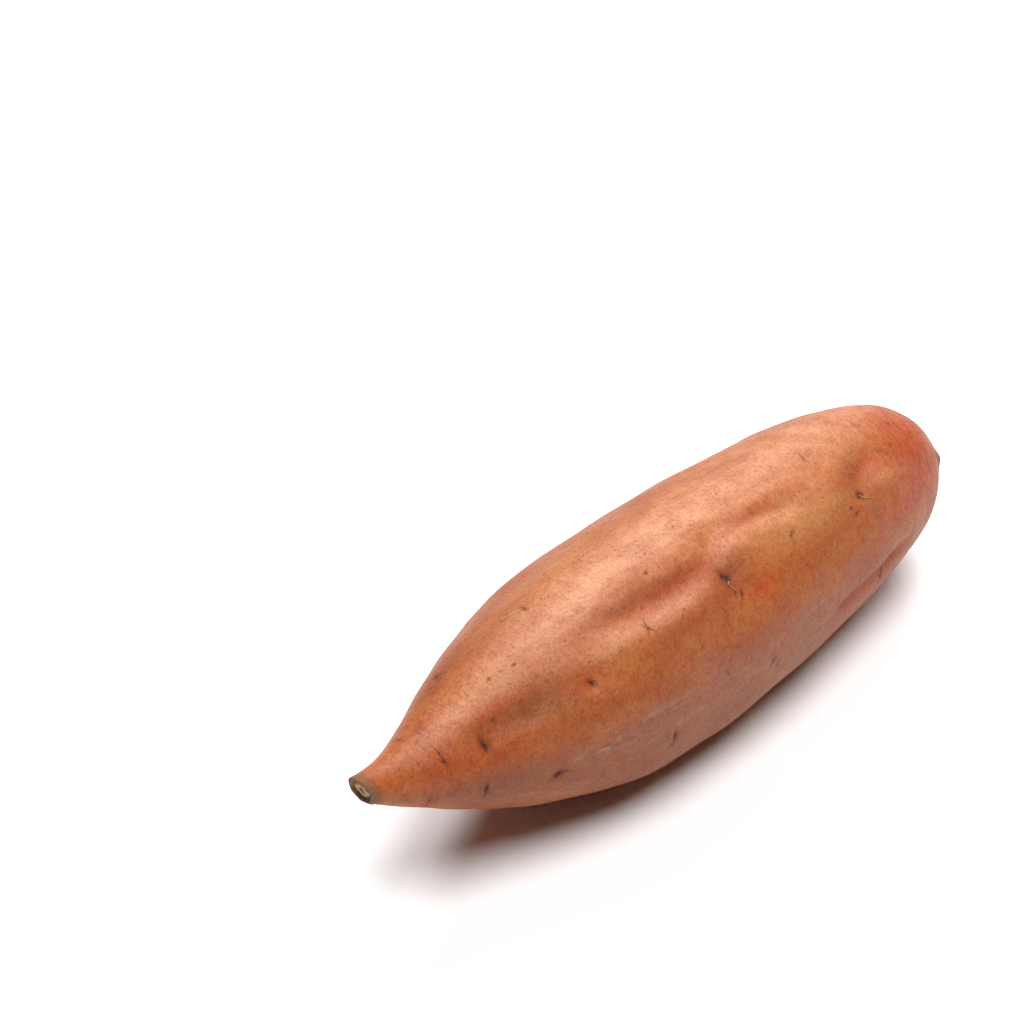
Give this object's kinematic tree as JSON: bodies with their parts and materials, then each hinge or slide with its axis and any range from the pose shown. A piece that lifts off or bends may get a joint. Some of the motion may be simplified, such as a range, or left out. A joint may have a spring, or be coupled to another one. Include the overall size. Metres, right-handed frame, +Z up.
{
  "type": "sweet potato",
  "caption": "Whole raw sweet potato: a plump root that narrows to a cut stem at one end and closes in a blunt dome at the other, lying on its belly.",
  "frame": {"origin": "middle of the bounding box in plan, on the surface that the root rests on", "axes": "+X along the root, from the cut stem to the blunt root end; +Z up"},
  "size_m": [0.201, 0.0566, 0.0563],
  "materials": {
    "skin": "thin waxy skin, orange to copper, with a soft sheen, fine pores and small root scars"
  },
  "bodies": {
    "root": {"sweet_potato": "skin"}
  },
  "joints": []
}
